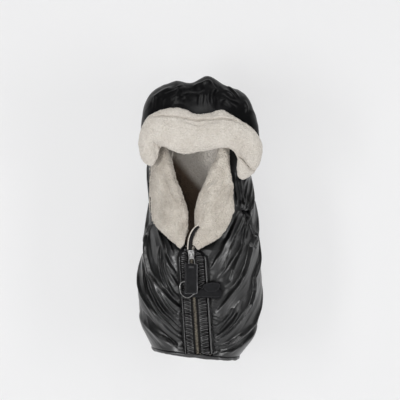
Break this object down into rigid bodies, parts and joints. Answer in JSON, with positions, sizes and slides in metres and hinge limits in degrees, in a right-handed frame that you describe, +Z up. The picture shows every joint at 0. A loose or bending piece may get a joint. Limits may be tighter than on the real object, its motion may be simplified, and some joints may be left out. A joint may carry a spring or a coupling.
{
  "type": "stroller footmuff",
  "caption": "Padded footmuff with a fleece-lined hood, folded fleece lapels, a front zip with a leather pull, a closing strap and ring, harness slots and back hanging loops.",
  "frame": {"origin": "midway between the points where the two hanging loops on the back bear on what they hang from", "axes": "+Z up, +X to the right as seen from the front, the zipped front faces -Y and the flat back lies in y = 0"},
  "size_m": [0.3059, 0.1637, 0.6984],
  "materials": {
    "puffer_black": "black polyester shell with a soft shine, padded and ruched in slanting channels",
    "placket_black": "black ruched placket cloth, woven zip tape and piping",
    "fleece_cream": "cream curled fleece, matt",
    "leather_black": "black grained leather with a stitched edge, satin",
    "nickel": "polished nickel, lightly worn",
    "antique_brass": "dull antique brass"
  },
  "bodies": {
    "root": {"back_panel": "puffer_black", "back_lining": "fleece_cream", "slot_binding_left": "placket_black", "slot_binding_right": "placket_black", "slot_binding_crotch": "placket_black", "sole_panel": "puffer_black", "sole_lining": "fleece_cream", "side_panel_left": "puffer_black", "side_panel_right": "puffer_black", "front_panel_left": "puffer_black", "front_panel_right": "puffer_black", "lining_left": "fleece_cream", "lining_right": "fleece_cream", "placket_left": "placket_black", "placket_right": "placket_black", "piping_left": "puffer_black", "piping_right": "puffer_black", "zip_tape_left": "placket_black", "zip_tape_right": "placket_black", "zip_teeth_left": "antique_brass", "zip_teeth_right": "antique_brass", "zip_bottom_stop": "antique_brass", "closing_strap": "leather_black", "strap_anchor": "leather_black", "snap_stud": "nickel", "strap_ring": "nickel", "ring_keeper": "leather_black", "hanging_loop_left": "puffer_black", "hanging_loop_right": "puffer_black", "hood_back": "puffer_black"},
    "slider": {"zip_slider": "nickel"},
    "link": {"pull_link": "nickel"},
    "tab": {"pull_tab": "leather_black"},
    "tongue": {"strap_tongue": "leather_black"},
    "hood": {"hood_shell": "puffer_black", "hood_lining": "fleece_cream", "hood_cuff": "fleece_cream"},
    "lapel_left": {"lapel_back_left": "puffer_black", "lapel_fleece_left": "fleece_cream"},
    "lapel_right": {"lapel_back_right": "puffer_black", "lapel_fleece_right": "fleece_cream"}
  },
  "joints": [
    {"name": "zip_slide", "type": "slide", "parent": "root", "child": "slider", "axis": [0.0654, 0.0284, -0.9975], "range_m": [0, 0.03]},
    {"name": "link_swing", "type": "hinge", "parent": "slider", "child": "link", "pos_m": [-0.02369, -0.14924, -0.3918], "axis": [-1, 0, 0], "range_deg": [0, 100]},
    {"name": "tab_swing", "type": "hinge", "parent": "link", "child": "tab", "pos_m": [-0.02205, -0.15578, -0.4168], "axis": [-1, 0, 0], "range_deg": [0, 60]},
    {"name": "tongue_open", "type": "hinge", "parent": "root", "child": "tongue", "pos_m": [0.00087, -0.14805, -0.46908], "axis": [0, 0, -1], "range_deg": [0, 95]},
    {"name": "hood_fold", "type": "hinge", "parent": "root", "child": "hood", "pos_m": [0, -0.0223, 0.006], "axis": [-1, 0, 0], "range_deg": [0, 100]},
    {"name": "lapel_left_turn", "type": "hinge", "parent": "root", "child": "lapel_left", "pos_m": [-0.08885, -0.10217, -0.1333], "axis": [-0.2212, 0.1797, 0.9585], "range_deg": [0, 40]},
    {"name": "lapel_right_turn", "type": "hinge", "parent": "root", "child": "lapel_right", "pos_m": [0.06215, -0.11031, -0.1333], "axis": [-0.3281, -0.1453, -0.9334], "range_deg": [0, 50]}
  ]
}
